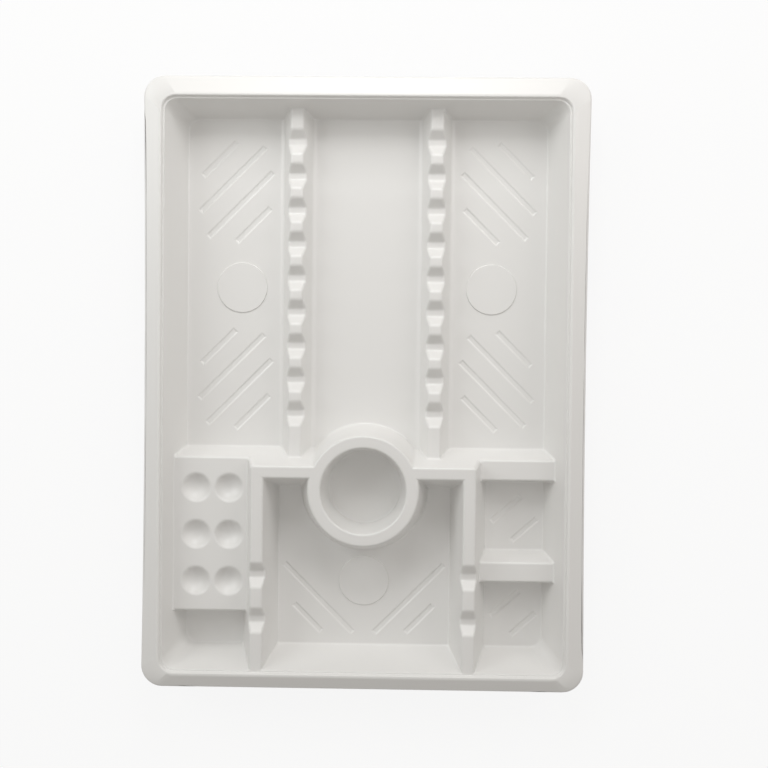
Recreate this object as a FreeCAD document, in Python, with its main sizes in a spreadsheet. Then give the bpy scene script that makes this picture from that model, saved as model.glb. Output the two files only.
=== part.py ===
import FreeCAD, Part
import Sketcher
import math
import os

# Divided instrument tray, thermoformed from one sheet of white polystyrene.
#
# The tray is modelled the way the sheet lies over its mould.  formed() builds the solid under one
# surface of the sheet: first for the upper face, then for the lower face, one sheet thickness
# further in.  The tray is the first solid less the second, so every wall, rib, notch and dimple is
# a wall of even thickness, hollow from below.
#
# Millimetres.  +X is across the tray, +Y points to its head (the end with the long compartments)
# and +Z is up.  The origin is at the middle of the tray, on the plane it stands on.

doc = FreeCAD.newDocument("instrument_tray")
sheet = doc.addObject("Spreadsheet::Sheet", "sizes")

SIZES = (
    # the sheet and the whole tray
    ("skin", 0.8),                # thickness of the formed sheet
    ("tray_length", 275.0),
    ("tray_width", 200.0),
    ("tray_corner", 9.5),         # outer corner radius in plan
    ("side_bow", 1.0),            # how far the long edges draw in at their middle
    # depths below the crest of the rim
    ("floor_depth", 22.0),        # floors of all compartments
    ("deck_depth", 10.5),         # half-height ribs, dimple block and divider
    ("ledge_depth", 1.5),         # ledge inside the rim, and the full-height partitions
    # rim
    ("rim_head", 9.3),            # outer edge to mouth at the head
    ("rim_foot", 7.1),            # the same at the foot
    ("rim_side", 8.6),            # the same at both sides
    ("rim_flat", 1.2),            # level strip along the crest
    ("rim_drop", 3.0),            # fall of the sloping band
    ("lip_height", 2.8),          # upright lip below the band
    ("lip_round", 1.6),
    ("mouth_corner", 6.5),
    ("riser_run", 0.5),           # lean of the step between crest and ledge
    ("ledge_width", 0.7),
    # outer walls: horizontal run from ledge to floor
    ("run_head", 5.4),
    ("run_foot", 7.8),
    ("run_side", 7.4),
    ("wall_corner", 6.0),
    # ribs and partitions; a slope is the run of a flank for each millimetre of height
    ("crest_width", 5.6),         # level top of every rib and partition
    ("rib_line", 31.7),           # centre line of each half-height rib from the middle
    ("rib_slope", 0.34),
    ("partition_line", 47.8),     # centre line of each full-height partition
    ("partition_slope", 0.25),
    ("cross_line", 39.5),         # centre line of the cross wall below the middle
    ("shelf_foot", 43.0),         # lower edge of the right end of the cross wall
    ("divider_line", 84.7),       # centre line of the right-hand divider
    ("divider_width", 9.0),
    # notches that instrument handles lie in
    ("notch_count", 9),
    ("notch_first", 109.8),
    ("notch_pitch", 15.4125),
    ("notch_depth", 4.0),
    ("notch_floor", 3.0),
    ("notch_round", 1.7),
    ("low_notch_count", 2),
    ("low_notch_first", 86.1),
    ("low_notch_pitch", 20.4),
    # cup ring
    ("ring_line", 47.7),          # centre of the ring below the middle
    ("ring_radius", 25.0),        # outside of the ring at its crest
    ("ring_slope", 0.2),
    ("cup_radius", 19.3),         # inside of the ring at its crest
    ("cup_slope", 0.117),
    # dimple block
    ("block_foot", 104.1),        # lower edge of the block
    ("dimple_width", 12.6),
    ("dimple_depth", 3.6),
    ("dimple_across", 15.0),
    ("dimple_along", 21.35),
    ("dimple_x", 68.9),           # middle of the six dimples
    ("dimple_y", 69.0),
    # discs and grooves in the floors
    ("disc_radius", 11.5),
    ("disc_rise", 0.5),
    ("disc_x", 57.5),
    ("disc_y", 44.0),
    ("disc_foot", 91.3),
    ("groove_width", 2.8),
    ("groove_depth", 0.4),        # pressed into the upper face only
    ("groove_lean", 55.0),        # lean of a groove's sides from upright, in degrees
    ("groove_spacing", 10.8),
    ("groove_long", 42.3),
    ("groove_short", 22.1),
    ("slant_long", 2.8),          # how far a long groove is moved along its own line
    ("slant_short", 5.1),
    ("panel_x", 60.4),            # middle of each panel of four grooves
    ("panel_high", 88.0),
    ("panel_low", 1.6),
    ("groove_angle", 45.0),
    ("fan_x", 21.0),              # the two pairs that spread out in the lower compartment
    ("fan_y", 99.8),
    ("fan_spacing", 10.0),
    ("fan_shift", 3.0),
    ("fan_long", 45.4),
    ("fan_short", 18.2),
    ("pair_x", 69.8),             # the pairs in the two small compartments
    ("pair_high", 62.0),
    ("pair_low", 105.8),
    ("pair_long", 18.0),
    ("pair_short", 15.4),
    ("pair_spacing", 12.8),
    ("pair_angle", 41.5),
)

for row, (alias, number) in enumerate(SIZES, 1):
    sheet.set("A%d" % row, alias)
    sheet.set("B%d" % row, str(number))
    sheet.setAlias("B%d" % row, alias)
doc.recompute()


def size(alias):
    return float(getattr(sheet, alias))


def bind(item, **ties):
    """Tie properties of item to expressions; two underscores stand for a dot."""
    for name, expression in ties.items():
        item.setExpression(name.replace("__", "."), expression)
    return item


# Levels and places that several features share, as expressions on the sheet.
FLOOR = "sizes.skin"
CREST = "(%s + sizes.floor_depth)" % FLOOR
LEDGE = "(%s - sizes.ledge_depth)" % CREST
DECK = "(%s - sizes.deck_depth)" % CREST
BAND = "(%s - sizes.rim_drop)" % CREST
ABOVE = "(%s + 1)" % CREST
FULL_HEIGHT = "(sizes.floor_depth - sizes.ledge_depth)"
HALF_HEIGHT = "(sizes.floor_depth - sizes.deck_depth)"
SIDE = "(sizes.tray_width / 2)"
END = "(sizes.tray_length / 2)"
STEP = "(sizes.riser_run + sizes.ledge_width)"
HALF_CREST = "(sizes.crest_width / 2)"
RIB_FOOT = "(%s + sizes.rib_slope * %s)" % (HALF_CREST, HALF_HEIGHT)
PARTITION_FOOT = "(%s + sizes.partition_slope * %s)" % (HALF_CREST, FULL_HEIGHT)
DIVIDER_FOOT = "(sizes.divider_width / 2 + sizes.rib_slope * %s)" % HALF_HEIGHT

# A side is one flank of a compartment: its place at the floor, and its slope.
WALL_SIDE = ("(%s - sizes.rim_side - %s - sizes.run_side)" % (SIDE, STEP),
             "(sizes.run_side / %s)" % FULL_HEIGHT)
WALL_HEAD = ("(%s - sizes.rim_head - %s - sizes.run_head)" % (END, STEP),
             "(sizes.run_head / %s)" % FULL_HEIGHT)
WALL_FOOT = ("(-%s + sizes.rim_foot + %s + sizes.run_foot)" % (END, STEP),
             "(sizes.run_foot / %s)" % FULL_HEIGHT)
RIB_INSIDE = ("(sizes.rib_line - %s)" % RIB_FOOT, "sizes.rib_slope")
RIB_OUTSIDE = ("(sizes.rib_line + %s)" % RIB_FOOT, "sizes.rib_slope")
PARTITION_INSIDE = ("(sizes.partition_line - %s)" % PARTITION_FOOT, "sizes.partition_slope")
PARTITION_OUTSIDE = ("(sizes.partition_line + %s)" % PARTITION_FOOT, "sizes.partition_slope")
CROSS_HEAD = ("(-sizes.cross_line + %s + sizes.rib_slope * %s)" % (HALF_CREST, FULL_HEIGHT),
              "sizes.rib_slope")
CROSS_FOOT = ("(-sizes.cross_line - %s)" % PARTITION_FOOT, "sizes.partition_slope")
SHELF_FOOT = ("(-sizes.shelf_foot - sizes.rib_slope * %s)" % HALF_HEIGHT, "sizes.rib_slope")
BLOCK_FOOT = ("(-sizes.block_foot - sizes.rib_slope * %s)" % HALF_HEIGHT, "sizes.rib_slope")
DIVIDER_HIGH = ("(-sizes.divider_line + %s)" % DIVIDER_FOOT, "sizes.rib_slope")
DIVIDER_LOW = ("(-sizes.divider_line - %s)" % DIVIDER_FOOT, "sizes.rib_slope")


def mirrored(side):
    return ("(-%s)" % side[0], side[1])


def open_at(place):
    """An upright side in mid-air, where one tool only has to overlap another."""
    return (place, "0")


def solid(kind, name, **links):
    item = doc.addObject("Part::" + kind, name)
    for key, value in links.items():
        setattr(item, key, value)
    return item


def recess(name, level, west, east, south, north, skin, top=ABOVE):
    """Air above a level: a box whose four sides lean outwards, each by its own slope."""
    low = "(%s - %s)" % (level, skin)

    def place(side, sign, height):
        return "(%s %s (%s * (%s - %s) + %s * sqrt(1 + %s ^ 2)))" % (
            side[0], sign, side[1], height, FLOOR, skin, side[1])

    wedge = solid("Wedge", name)
    wedge.Placement = FreeCAD.Placement(FreeCAD.Vector(), FreeCAD.Rotation(0, 0, 90))
    return bind(wedge, Ymin=low, Ymax=top,
                Xmin=place(west, "-", low), X2min=place(west, "-", top),
                Xmax=place(east, "+", low), X2max=place(east, "+", top),
                Zmin="-" + place(north, "+", low), Z2min="-" + place(north, "+", top),
                Zmax="-" + place(south, "-", low), Z2max="-" + place(south, "-", top))


def rounded(name, base, radius_of, kind="Fillet"):
    """Round, or with kind Chamfer bevel, the edges of base for which radius_of gives a size."""
    doc.recompute()
    chosen = []
    for number, edge in enumerate(base.Shape.Edges, 1):
        radius = radius_of(edge)
        if radius:
            chosen.append((number, radius, radius))
    if not chosen:
        return base
    dressed = solid(kind, name, Base=base)
    dressed.Edges = chosen
    return dressed


def in_wall_corner(edge):
    """True for an upright edge where two outer walls of the tray meet."""
    middle, box = edge.CenterOfMass, edge.BoundBox
    inner_x = size("tray_width") / 2 - size("rim_side") - size("run_side") - 3
    inner_y = size("tray_length") / 2 - size("rim_head") - size("run_foot") - 3
    upright = box.ZLength > max(box.XLength, box.YLength)
    return upright and abs(middle.x) > inner_x and abs(middle.y) > inner_y


def compartment(name, level, west, east, south, north, skin, ring=None):
    """A recess, rounded where two outer walls meet and kept clear of the ring if one is given."""
    air = recess(name, level, west, east, south, north, skin)
    if ring:
        air = solid("Cut", name + "_clear", Base=air, Tool=ring)
    radius = size("wall_corner") + value_of(skin)
    return rounded(name + "_corners", air, lambda edge: radius if in_wall_corner(edge) else 0)


def value_of(skin):
    return size("skin") if "skin" in skin else 0.0


def lowest_corner(item):
    doc.recompute()
    return min(corner.Z for corner in item.Shape.Vertexes)


def notch(name, level, reach, line, skin):
    """One rounded notch across a pair of ribs, cut along X at the given place on Y."""
    depth = "(%s - sizes.notch_depth)" % level
    half = "(sizes.notch_floor / 2 - (%s - %s))" % (depth, FLOOR)
    south = ("(%s - %s)" % (line, half), "1")
    north = ("(%s + %s)" % (line, half), "1")
    top = "(%s + 1)" % level
    air = recess(name, depth, open_at("-" + reach), open_at(reach), south, north, skin, top)
    if value_of(skin):
        return air
    low = lowest_corner(air)

    def foot_radius(edge):
        box = edge.BoundBox
        if box.ZMax < low + 0.001 and box.YLength < 0.001:
            return size("notch_round")
        return 0

    return rounded(name + "_foot", air, foot_radius)


def ring_cone(name, skin):
    """The ring as a full cone, its flank leaning in towards the crest."""
    low = "(%s - 2)" % FLOOR
    shift = "%s * sqrt(1 + sizes.ring_slope ^ 2)" % skin
    return bind(solid("Cone", name),
                Height="%s - %s" % (ABOVE, low),
                Radius1="sizes.ring_radius + sizes.ring_slope * (%s - %s) - %s" % (LEDGE, low, shift),
                Radius2="sizes.ring_radius + sizes.ring_slope * (%s - %s) - %s" % (LEDGE, ABOVE, shift),
                Placement__Base__y="-sizes.ring_line", Placement__Base__z=low)


def cup(name, skin):
    """The round well inside the ring, down to the floor."""
    low = "(%s - %s)" % (FLOOR, skin)
    shift = "%s * sqrt(1 + sizes.cup_slope ^ 2)" % skin
    return bind(solid("Cone", name),
                Height="%s - %s" % (ABOVE, low),
                Radius1="sizes.cup_radius - sizes.cup_slope * (%s - %s) + %s" % (LEDGE, low, shift),
                Radius2="sizes.cup_radius - sizes.cup_slope * (%s - %s) + %s" % (LEDGE, ABOVE, shift),
                Placement__Base__y="-sizes.ring_line", Placement__Base__z=low)


def dimple(name, column, line, skin):
    """A shallow round dimple in the deck of its block: part of a ball, or a plain cone at the back."""
    radius = "((sizes.dimple_width ^ 2 / 4 + sizes.dimple_depth ^ 2) / (2 * sizes.dimple_depth))"
    bottom = "%s - sizes.dimple_depth" % DECK
    if value_of(skin):
        low, flare = "sizes.dimple_width / 3", "(sizes.dimple_width / 6 + %s / 2)" % skin
        hollow = bind(solid("Cone", name), Height="2 * sizes.dimple_depth", Radius1=low,
                      Radius2="%s + 2 * %s" % (low, flare), Placement__Base__z="%s - %s" % (bottom, skin))
    else:
        hollow = bind(solid("Sphere", name), Radius=radius,
                      Placement__Base__z="%s + %s" % (bottom, radius))
    return bind(hollow, Placement__Base__x="-sizes.dimple_x + %s * sizes.dimple_across" % column,
                Placement__Base__y="-sizes.dimple_y + %s * sizes.dimple_along" % line)


def outline(name, half_width, foot, head, corner, level, bow=None):
    """Rounded rectangle, even about the middle in X; its long sides draw in by bow if one is given."""
    sketch = doc.addObject("Sketcher::SketchObject", name)
    bind(sketch, Placement__Base__z=level)
    wide, tall, turn = size("tray_width") / 2, size("tray_length") / 2, size("tray_corner")
    point = FreeCAD.Vector
    quarter = math.pi / 2

    def arc(x, y, radius, start, end):
        return Part.ArcOfCircle(Part.Circle(point(x, y, 0), point(0, 0, 1), radius), start, end)

    def corner_arc(x, y, start):
        return arc(x * (wide - turn), y * (tall - turn), turn, start, start + quarter)

    if bow:
        sweep = (tall ** 2 + size("side_bow") ** 2) / (2 * size("side_bow"))
        swing = math.asin((tall - turn) / sweep)
        centre = wide - size("side_bow") + sweep
        east = arc(centre, 0, sweep, math.pi - swing, math.pi + swing)
        west = arc(-centre, 0, sweep, -swing, swing)
    else:
        east = Part.LineSegment(point(wide, tall - turn, 0), point(wide, turn - tall, 0))
        west = Part.LineSegment(point(-wide, turn - tall, 0), point(-wide, tall - turn, 0))
    south = Part.LineSegment(point(turn - wide, -tall, 0), point(wide - turn, -tall, 0))
    north = Part.LineSegment(point(wide - turn, tall, 0), point(turn - wide, tall, 0))
    sketch.addGeometry([south, corner_arc(1, -1, -quarter), east, corner_arc(1, 1, 0),
                        north, corner_arc(-1, 1, quarter), west, corner_arc(-1, -1, math.pi)], False)
    rule = Sketcher.Constraint
    joints = ((0, 2, 1, 1), (1, 2, 2, 2), (2, 1, 3, 1), (3, 2, 4, 1),
              (4, 2, 5, 1), (5, 2, 6, 2), (6, 1, 7, 1), (7, 2, 0, 1))
    sketch.addConstraint([rule("Tangent", *joint) for joint in joints])
    sketch.addConstraint([rule("Horizontal", 0), rule("Horizontal", 4)])
    sketch.addConstraint([rule("Equal", 1, other) for other in (3, 5, 7)])
    dimension(sketch, "corner", rule("Radius", 1, turn), corner)
    dimension(sketch, "foot", rule("DistanceY", -1, 1, 0, 1, -tall), foot)
    dimension(sketch, "head", rule("DistanceY", -1, 1, 4, 1, tall), head)
    if bow:
        radius = "((%s ^ 2 + %s ^ 2) / (2 * %s))" % (END, bow, bow)
        away = "(%s - %s + %s)" % (half_width, bow, radius)
        dimension(sketch, "east_sweep", rule("Radius", 2, sweep), radius)
        dimension(sketch, "west_sweep", rule("Radius", 6, sweep), radius)
        dimension(sketch, "east", rule("DistanceX", -1, 1, 2, 3, centre), away)
        dimension(sketch, "west", rule("DistanceX", -1, 1, 6, 3, -centre), "-" + away)
        sketch.addConstraint([rule("PointOnObject", side, 3, -1) for side in (2, 6)])
    else:
        sketch.addConstraint([rule("Vertical", side) for side in (2, 6)])
        dimension(sketch, "east", rule("DistanceX", -1, 1, 2, 1, wide), half_width)
        dimension(sketch, "west", rule("DistanceX", -1, 1, 6, 1, -wide), "-" + half_width)
    return sketch


def dimension(sketch, name, rule, expression):
    """Add a named constraint to a sketch and tie it to an expression."""
    sketch.renameConstraint(sketch.addConstraint(rule), name)
    bind(sketch, **{"Constraints__" + name: expression})


def extrusion(name, sketch, height, **more):
    item = solid("Extrusion", name, Base=sketch, DirMode="Normal", Solid=True, **more)
    return bind(item, LengthFwd=height)


def rim(name, skin):
    """The block that the compartments are sunk into, with the sloping band of the rim on top."""
    drop = "(%s - %s)" % (BAND, skin)
    top = "(%s - %s)" % (CREST, skin)
    edge = outline(name + "_edge", "(%s - %s)" % (SIDE, skin), "(%s - %s)" % (skin, END),
                   "(%s - %s)" % (END, skin), "(sizes.tray_corner - %s)" % skin, drop, "sizes.side_bow")
    flat = outline(name + "_flat", "(%s - sizes.rim_side + sizes.rim_flat)" % SIDE,
                   "(sizes.rim_foot - sizes.rim_flat - %s)" % END,
                   "(%s - sizes.rim_head + sizes.rim_flat)" % END,
                   "(sizes.mouth_corner + sizes.rim_flat)", top)
    band = solid("Loft", name + "_band", Sections=[edge, flat], Solid=True, Ruled=True)
    base = extrusion(name + "_base", edge, "%s + 2" % drop, Reversed=True)
    block = solid("MultiFuse", name + "_block", Shapes=[band, base])
    doc.recompute()
    level = edge.Shape.BoundBox.ZMax

    def lip_radius(edge):
        box = edge.BoundBox
        on_level = abs(box.ZMax - level) < 0.001 and abs(box.ZMin - level) < 0.001
        return size("lip_round") - value_of(skin) if on_level else 0

    return rounded(name + "_lip", block, lip_radius)


def mouth(name, skin):
    """Air inside the rim, down to the ledge and the crests of the full-height partitions."""
    lean = "(sizes.riser_run / sizes.ledge_depth)"
    back = "(%s * %s)" % (lean, FULL_HEIGHT)
    side = ("(%s - sizes.rim_side - sizes.riser_run - %s)" % (SIDE, back), lean)
    head = ("(%s - sizes.rim_head - sizes.riser_run - %s)" % (END, back), lean)
    foot = ("(-%s + sizes.rim_foot + sizes.riser_run + %s)" % (END, back), lean)
    air = recess(name, LEDGE, mirrored(side), side, foot, head, skin)
    corner = size("mouth_corner") + value_of(skin)
    upright = size("ledge_depth") / 2
    return rounded(name + "_corners", air,
                   lambda edge: corner if edge.BoundBox.ZLength > upright else 0)


def compartments(name, skin, ring):
    """Air over every floor, and over every deck at half height."""
    left, right = mirrored(WALL_SIDE), WALL_SIDE
    west_partition, east_partition = mirrored(PARTITION_OUTSIDE), PARTITION_OUTSIDE
    over_centre = "(sizes.rib_line - %s - 1)" % HALF_CREST
    over_end = "(sizes.partition_line + %s + sizes.partition_slope * sizes.deck_depth + 1)" % HALF_CREST
    return [
        compartment(name + "_long_left", FLOOR, left, mirrored(RIB_OUTSIDE), CROSS_HEAD, WALL_HEAD, skin),
        compartment(name + "_long_right", FLOOR, RIB_OUTSIDE, right, CROSS_HEAD, WALL_HEAD, skin),
        compartment(name + "_long_middle", FLOOR, mirrored(RIB_INSIDE), RIB_INSIDE,
                    CROSS_HEAD, WALL_HEAD, skin, ring),
        compartment(name + "_low_middle", FLOOR, mirrored(PARTITION_INSIDE), PARTITION_INSIDE,
                    WALL_FOOT, CROSS_FOOT, skin, ring),
        compartment(name + "_bin", FLOOR, left, west_partition, WALL_FOOT, BLOCK_FOOT, skin),
        compartment(name + "_small_high", FLOOR, east_partition, right, DIVIDER_HIGH, SHELF_FOOT, skin),
        compartment(name + "_small_low", FLOOR, east_partition, right, WALL_FOOT, DIVIDER_LOW, skin),
        compartment(name + "_deck_left", DECK, left, west_partition, WALL_FOOT, WALL_HEAD, skin),
        compartment(name + "_deck_right", DECK, east_partition, right, WALL_FOOT, WALL_HEAD, skin),
        recess(name + "_rib_left", DECK, open_at("-" + over_end), open_at("-" + over_centre),
               CROSS_HEAD, WALL_HEAD, skin),
        recess(name + "_rib_right", DECK, open_at(over_centre), open_at(over_end),
               CROSS_HEAD, WALL_HEAD, skin),
        cup(name + "_cup", skin),
        mouth(name + "_mouth", skin),
    ]


def notches(name, skin):
    tools = []
    for count in range(int(size("notch_count"))):
        line = "(sizes.notch_first - %d * sizes.notch_pitch)" % count
        reach = "(sizes.rib_line + sizes.crest_width)"
        tools.append(notch("%s_rib_%d" % (name, count), DECK, reach, line, skin))
    for count in range(int(size("low_notch_count"))):
        line = "(-sizes.low_notch_first - %d * sizes.low_notch_pitch)" % count
        reach = "(sizes.partition_line + sizes.crest_width)"
        tools.append(notch("%s_low_%d" % (name, count), LEDGE, reach, line, skin))
    return tools


def dimples(name, skin):
    return [dimple("%s_dimple_%d_%d" % (name, column + 1, line + 1), column, line, skin)
            for column in (-0.5, 0.5) for line in (-1, 0, 1)]


def discs(name, skin):
    places = (("left", "-sizes.disc_x", "sizes.disc_y"), ("right", "sizes.disc_x", "sizes.disc_y"),
              ("foot", "0", "-sizes.disc_foot"))
    return [disc("%s_disc_%s" % (name, where), x, y, skin) for where, x, y in places]


def disc(name, place_x, place_y, skin):
    return bind(solid("Cylinder", name), Radius="sizes.disc_radius - 0.7 * %s" % skin,
                Height="sizes.disc_rise + 1",
                Placement__Base__x=place_x, Placement__Base__y=place_y,
                Placement__Base__z="%s - %s - 1" % (FLOOR, skin))


def groove_panel(name, place_x, place_y, angle, lines):
    """Straight grooves side by side, sloping in on all sides; each line is shift, offset, length."""
    sketch = doc.addObject("Sketcher::SketchObject", name)
    bind(sketch, Placement__Base__x=place_x, Placement__Base__y=place_y, Placement__Base__z=FLOOR,
         Placement__Rotation__Angle=angle)
    rule = Sketcher.Constraint
    reach, half = 10, size("groove_width") / 2
    for count, (shift, offset, length) in enumerate(lines):
        first = sketch.GeometryCount
        middle = 20 * count
        corners = [FreeCAD.Vector(x, middle + y, 0)
                   for x, y in ((-reach, -half), (reach, -half), (reach, half), (-reach, half))]
        sketch.addGeometry([Part.LineSegment(corners[side], corners[(side + 1) % 4])
                            for side in range(4)], False)
        sketch.addConstraint([rule("Coincident", first + side, 2, first + (side + 1) % 4, 1)
                              for side in range(4)])
        sketch.addConstraint([rule("Horizontal", first), rule("Vertical", first + 1),
                              rule("Horizontal", first + 2), rule("Vertical", first + 3)])
        dimension(sketch, "start_%d" % count, rule("DistanceX", -1, 1, first, 1, -reach),
                  "%s - %s / 2" % (shift, length))
        dimension(sketch, "end_%d" % count, rule("DistanceX", -1, 1, first, 2, reach),
                  "%s + %s / 2" % (shift, length))
        dimension(sketch, "low_%d" % count, rule("DistanceY", -1, 1, first, 1, middle - half),
                  "%s - sizes.groove_width / 2" % offset)
        dimension(sketch, "high_%d" % count, rule("DistanceY", -1, 1, first + 2, 1, middle + half),
                  "%s + sizes.groove_width / 2" % offset)
    cut = extrusion(name + "_cut", sketch, "1")
    return bind(cut, LengthRev="sizes.groove_depth", TaperAngleRev="-sizes.groove_lean")


def grooves():
    """All the floor grooves: panels of four in the long compartments, pairs in the lower ones."""
    tools = []
    for side, hand in (("left", -1), ("right", 1)):
        four = [("%d * sizes.slant_%s" % (hand * row, kind), "%s * sizes.groove_spacing" % place,
                 "sizes.groove_" + kind)
                for kind, row, place in (("short", -1, "1.5"), ("long", -1, "0.5"),
                                         ("long", 1, "-0.5"), ("short", 1, "-1.5"))]
        for height in ("high", "low"):
            tools.append(groove_panel("panel_%s_%s" % (side, height),
                                      "%d * sizes.panel_x" % hand, "sizes.panel_" + height,
                                      "%d * sizes.groove_angle" % -hand, four))
        fan = (("0", "0", "sizes.fan_long"),
               ("%d * sizes.fan_shift" % -hand, "-sizes.fan_spacing", "sizes.fan_short"))
        tools.append(groove_panel("fan_" + side, "%d * sizes.fan_x" % hand, "-sizes.fan_y",
                                  "%d * sizes.groove_angle" % hand, fan))
    pair = (("0", "0.5 * sizes.pair_spacing", "sizes.pair_long"),
            ("0", "-0.5 * sizes.pair_spacing", "sizes.pair_short"))
    for height in ("high", "low"):
        tools.append(groove_panel("pair_" + height, "sizes.pair_x", "-sizes.pair_" + height,
                                  "sizes.pair_angle", pair))
    return tools


def formed(name, skin):
    """The solid under one surface of the sheet: its upper face, or with a skin its lower face."""
    block = rim(name, skin)
    if value_of(skin):
        below = bind(solid("Box", name + "_below"), Length="sizes.tray_width + 2",
                     Width="sizes.tray_length + 2", Height="%s - sizes.lip_height + 3" % BAND,
                     Placement__Base__x="-%s - 1" % SIDE, Placement__Base__y="-%s - 1" % END,
                     Placement__Base__z="-3")
        block = solid("MultiFuse", name + "_whole", Shapes=[block, below])
    ring = ring_cone(name + "_ring", skin)
    body = block
    for count, air in enumerate(compartments(name, skin, ring)):
        body = solid("Cut", "%s_sunk_%d" % (name, count), Base=body, Tool=air)
    cuts = solid("MultiFuse", name + "_cuts", Shapes=notches(name, skin) + dimples(name, skin))
    body = solid("Cut", name + "_notched", Base=body, Tool=cuts)
    return solid("MultiFuse", name + "_raised", Shapes=[body] + discs(name, skin))


pressed = solid("Cut", "face_pressed", Base=formed("face", "0"),
                Tool=solid("MultiFuse", "groove_lines", Shapes=grooves()))
tray = solid("Cut", "instrument_tray", Base=pressed, Tool=formed("back", "sizes.skin"))
tray.Label = "instrument_tray"
doc.recompute()

for item in doc.Objects:
    if "Invalid" in item.State or "Error" in item.State:
        raise RuntimeError("%s failed: %s" % (item.Name, item.State))
if tray.Shape.isNull() or not tray.Shape.isValid():
    raise RuntimeError("the tray is not a valid shape")
print("tray: %d solid, %.1f cm3, %d faces" % (len(tray.Shape.Solids), tray.Shape.Volume / 1000,
                                             len(tray.Shape.Faces)))

os.makedirs("parts", exist_ok=True)
tray.Shape.exportStep("parts/instrument_tray.step")
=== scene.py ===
import math
import bmesh
import bpy
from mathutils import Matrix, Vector


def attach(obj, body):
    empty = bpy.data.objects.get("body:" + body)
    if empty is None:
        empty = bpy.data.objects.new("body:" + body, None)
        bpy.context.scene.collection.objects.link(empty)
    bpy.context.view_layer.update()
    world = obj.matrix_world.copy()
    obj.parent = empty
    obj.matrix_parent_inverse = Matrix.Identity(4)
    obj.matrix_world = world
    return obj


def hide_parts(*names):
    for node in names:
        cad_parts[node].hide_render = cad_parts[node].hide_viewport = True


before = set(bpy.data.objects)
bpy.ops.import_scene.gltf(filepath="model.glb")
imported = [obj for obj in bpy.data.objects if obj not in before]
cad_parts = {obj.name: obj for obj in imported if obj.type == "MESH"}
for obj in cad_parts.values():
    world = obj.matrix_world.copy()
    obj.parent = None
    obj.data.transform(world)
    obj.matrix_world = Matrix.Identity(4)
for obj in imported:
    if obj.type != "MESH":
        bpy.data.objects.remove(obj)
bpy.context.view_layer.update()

# The tray.  One sheet of white polystyrene, heated and drawn down over a mould, then trimmed round
# the rim.  The soft sheet never lies quite into a corner, so every crest and foot is rounded, broad
# forms more than the narrow ledge, lip and grooves.
WELD = 1e-6
SAME_PLANE = math.radians(0.6)
CORNER = math.radians(22)
SAME_LINE = math.radians(38)
UPRIGHT_CREST = 0.0018
LEVEL_CREST = 0.001
FOOT = 0.0009
RIB_FOOT = 0.0025
RIB_FEET = (0.022, 0.042)
SHARE_OF_WIDTH = 0.4
FAR = 0.005


def smooth_width(edge, face):
    """How far the surface runs on from the middle of an edge before it turns sharply."""
    start = (edge.verts[0].co + edge.verts[1].co) / 2
    loop = next(loop for loop in face.loops if loop.edge == edge)
    along = loop.link_loop_next.vert.co - loop.vert.co
    ahead = face.normal.cross(along).normalized()
    width, last = 0.0, edge
    while width < FAR:
        aside = face.normal.cross(ahead)
        nearest, reached = FAR, None
        for side in face.edges:
            one, two = side.verts[0].co - start, side.verts[1].co - start
            if side == last or (one.dot(aside) > 0) == (two.dot(aside) > 0):
                continue
            share = one.dot(aside) / (one.dot(aside) - two.dot(aside))
            distance = one.lerp(two, share).dot(ahead)
            if -WELD < distance < nearest:
                nearest, reached = distance, side
        width += nearest
        if reached is None or reached.calc_face_angle(math.pi) > CORNER:
            return width
        start = start + ahead * nearest
        face = next(other for other in reached.link_faces if other != face)
        ahead = (ahead - face.normal * ahead.dot(face.normal)).normalized()
        last = reached
    return width


def wanted_rounding(edge):
    run = edge.verts[0].co - edge.verts[1].co
    middle = (edge.verts[0].co + edge.verts[1].co) / 2
    if edge.is_convex:
        widest = UPRIGHT_CREST if abs(run.z) > 0.7 * run.length else LEVEL_CREST
    elif abs(run.y) > 0.9 * run.length and RIB_FEET[0] < abs(middle.x) < RIB_FEET[1]:
        widest = RIB_FOOT
    else:
        widest = FOOT
    return min([widest] + [SHARE_OF_WIDTH * smooth_width(edge, face) for face in edge.link_faces])


def line_through(edge, sharp):
    """The sharp edges that carry on from one edge without a turn, whether crest or foot."""
    line, ends = {edge}, [edge]
    while ends:
        near = ends.pop()
        for corner in near.verts:
            out = near.other_vert(corner).co - corner.co
            for far in corner.link_edges:
                if far in line or far not in sharp or far.is_convex != near.is_convex:
                    continue
                if out.angle(corner.co - far.other_vert(corner).co) < SAME_LINE:
                    line.add(far)
                    ends.append(far)
    return line


def draw_upright(mesh, crest, west, east):
    """Make a flank that faces the foot of the tray nearly upright, from its crest down to the floor."""
    for corner in mesh.verts:
        depth = DECK - corner.co.z
        ahead = corner.co.y - (crest - LEAN_BEFORE * depth)
        if 0 < depth and west < corner.co.x < east and -BESIDE < ahead < BESIDE + SKIN:
            corner.co.y += (LEAN_BEFORE - LEAN_AFTER) * depth


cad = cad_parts["instrument_tray"]
formed = bmesh.new()
formed.from_mesh(cad.data)
bmesh.ops.remove_doubles(formed, verts=formed.verts, dist=WELD)
SKIN = 0.0008
DECK = 0.0123
BESIDE = 0.0002
LEAN_BEFORE = 0.34
LEAN_AFTER = 0.1
draw_upright(formed, -0.043, 0.05, 0.092)
draw_upright(formed, -0.0892, 0.05, 0.092)
draw_upright(formed, -0.1041, -0.092, -0.05)
bmesh.ops.dissolve_limit(formed, angle_limit=SAME_PLANE, verts=formed.verts, edges=formed.edges)
rounding = formed.edges.layers.float.new("bevel_weight_edge")
sharp = {edge for edge in formed.edges if edge.calc_face_angle() > CORNER}
left = set(sharp)
while left:
    line = line_through(left.pop(), sharp)
    left -= line
    weight = min(wanted_rounding(edge) for edge in line) / UPRIGHT_CREST
    for edge in line:
        edge[rounding] = weight

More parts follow.
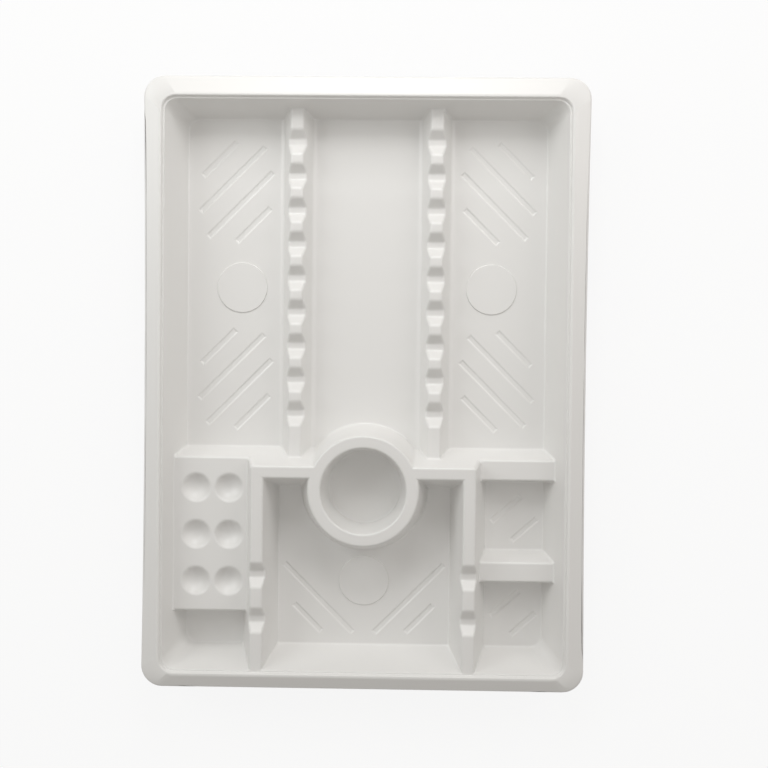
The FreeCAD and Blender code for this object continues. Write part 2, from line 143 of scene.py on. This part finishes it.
sheet = bpy.data.meshes.new("formed_sheet")
formed.to_mesh(sheet)
formed.free()
tray = bpy.data.objects.new("formed_sheet", sheet)
bpy.context.scene.collection.objects.link(tray)
sheet.materials.append(None)
sheet.materials.append(None)
corners = tray.modifiers.new("rounded_corners", "BEVEL")
corners.limit_method = "WEIGHT"
corners.width = UPRIGHT_CREST
corners.segments = 3
corners.profile = 0.5
corners.use_clamp_overlap = False
corners.loop_slide = False
corners.material = 1
drawn = bpy.data.meshes.new_from_object(tray.evaluated_get(bpy.context.evaluated_depsgraph_get()))
tray.modifiers.clear()

# Floors with grooves or a disc in them are filled again, because the bevel leaves them one outline.
rounded = bmesh.new()
rounded.from_mesh(drawn)
shown = {}
for one, two, three in rounded.calc_loop_triangles():
    area = (two.vert.co - one.vert.co).cross(three.vert.co - one.vert.co).length / 2
    shown[one.face] = shown.get(one.face, 0) + area
torn = {face for face in rounded.faces
        if face.material_index == 0 and shown[face] - face.calc_area() > WELD}
while torn:
    first = torn.pop()
    level, floor, reach = first.normal.copy(), {first}, [first]
    while reach:
        for edge in reach.pop().edges:
            for face in edge.link_faces:
                if face not in floor and face.material_index == 0 and face.normal.angle(level) < SAME_PLANE:
                    floor.add(face)
                    reach.append(face)
    torn -= floor
    outline = [edge for face in floor for edge in face.edges
               if sum(other in floor for other in edge.link_faces) == 1]
    bmesh.ops.delete(rounded, geom=list(floor), context="FACES_KEEP_BOUNDARY")
    filled = bmesh.ops.triangle_fill(rounded, use_beauty=True, edges=outline, normal=level)
    for face in filled["geom"]:
        if isinstance(face, bmesh.types.BMFace) and face.normal.dot(level) < 0:
            face.normal_flip()
for face in rounded.faces:
    face.material_index = 0
    face.smooth = True
rounded.to_mesh(sheet)
rounded.free()

shading = tray.modifiers.new("even_shading", "WEIGHTED_NORMAL")
shading.weight = 80

plastic = bpy.data.materials.new("white_polystyrene")
plastic.use_nodes = True
nodes, links = plastic.node_tree.nodes, plastic.node_tree.links
shader = nodes["Principled BSDF"]
shader.inputs["Base Color"].default_value = (0.8, 0.795, 0.78, 1)
shader.inputs["Roughness"].default_value = 0.38
shader.inputs["IOR"].default_value = 1.55
sheet.materials.clear()
sheet.materials.append(plastic)

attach(tray, "root")
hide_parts("instrument_tray")

# The table.  A plain white studio sheet that the tray stands on.  To the camera it is nearly pure
# white and keeps only a faint shadow, and to the tray it is plain white paper.
table_mesh = bmesh.new()
bmesh.ops.create_grid(table_mesh, x_segments=1, y_segments=1, size=3)
table_data = bpy.data.meshes.new("table")
table_mesh.to_mesh(table_data)
table_mesh.free()
table = bpy.data.objects.new("table", table_data)
bpy.context.scene.collection.objects.link(table)


def seen_or_mirrored(tree, share):
    """A value that is share for camera, glossy and transmission rays, and 0 for the light's own rays."""
    path = tree.nodes.new("ShaderNodeLightPath")
    total = path.outputs["Is Camera Ray"]
    for kind in ("Is Glossy Ray", "Is Transmission Ray"):
        both = tree.nodes.new("ShaderNodeMath")
        both.operation = "MAXIMUM"
        tree.links.new(total, both.inputs[0])
        tree.links.new(path.outputs[kind], both.inputs[1])
        total = both.outputs[0]
    part = tree.nodes.new("ShaderNodeMath")
    part.operation = "MULTIPLY"
    tree.links.new(total, part.inputs[0])
    part.inputs[1].default_value = share
    return part.outputs[0]


paper = bpy.data.materials.new("white_table")
paper.use_nodes = True
tree = paper.node_tree
surface = tree.nodes["Principled BSDF"]
surface.inputs["Base Color"].default_value = (0.8, 0.8, 0.8, 1)
surface.inputs["Roughness"].default_value = 0.8
glow = tree.nodes.new("ShaderNodeEmission")
glow.inputs["Color"].default_value = (1, 1, 1, 1)
glow.inputs["Strength"].default_value = 1
blend = tree.nodes.new("ShaderNodeMixShader")
tree.links.new(seen_or_mirrored(tree, 0.88), blend.inputs[0])
tree.links.new(surface.outputs[0], blend.inputs[1])
tree.links.new(glow.outputs[0], blend.inputs[2])
tree.links.new(blend.outputs[0], tree.nodes["Material Output"].inputs["Surface"])
table.data.materials.append(paper)


# Studio light and camera.  Windows at the head of the tray and at both sides, a warmer light from
# the room, and a lens looking almost straight down.
def lamp(name, place, across, power, colour):
    light = bpy.data.lights.new(name, "AREA")
    light.shape = "SQUARE"
    light.size = across
    light.energy = power
    light.color = colour
    item = bpy.data.objects.new(name, light)
    item.location = place
    item.rotation_euler = (-Vector(place)).to_track_quat("-Z", "Y").to_euler()
    bpy.context.scene.collection.objects.link(item)


lamp("head_light", (0, 0.42, 0.32), 0.22, 0.95, (1, 1, 1))
lamp("left_light", (-0.5, 0.28, 0.4), 0.35, 1.15, (0.97, 1, 1))
lamp("right_light", (0.5, 0.28, 0.4), 0.35, 0.87, (1, 0.97, 0.95))

ROOM_COLOUR = (1, 0.96, 0.91, 1)
ROOM_STRENGTH = 0.4
world = bpy.data.worlds.new("studio")
world.use_nodes = True
sky = world.node_tree
room = sky.nodes["Background"]
room.inputs["Color"].default_value = ROOM_COLOUR
room.inputs["Strength"].default_value = ROOM_STRENGTH
white = sky.nodes.new("ShaderNodeBackground")
white.inputs["Color"].default_value = (1, 1, 1, 1)
white.inputs["Strength"].default_value = 1
either = sky.nodes.new("ShaderNodeMixShader")
sky.links.new(seen_or_mirrored(sky, 1), either.inputs[0])
sky.links.new(room.outputs[0], either.inputs[1])
sky.links.new(white.outputs[0], either.inputs[2])
sky.links.new(either.outputs[0], sky.nodes["World Output"].inputs["Surface"])
bpy.context.scene.world = world

lens = bpy.data.cameras.new("camera")
lens.lens = 59.71
lens.sensor_width = 36
camera = bpy.data.objects.new("camera", lens)
camera.location = (0.0209, 0.0166, 0.59)
camera.rotation_euler = (-0.0279, 0.0214, 0.0106)
bpy.context.scene.collection.objects.link(camera)
bpy.context.scene.camera = camera
bpy.context.scene.view_settings.view_transform = "Standard"
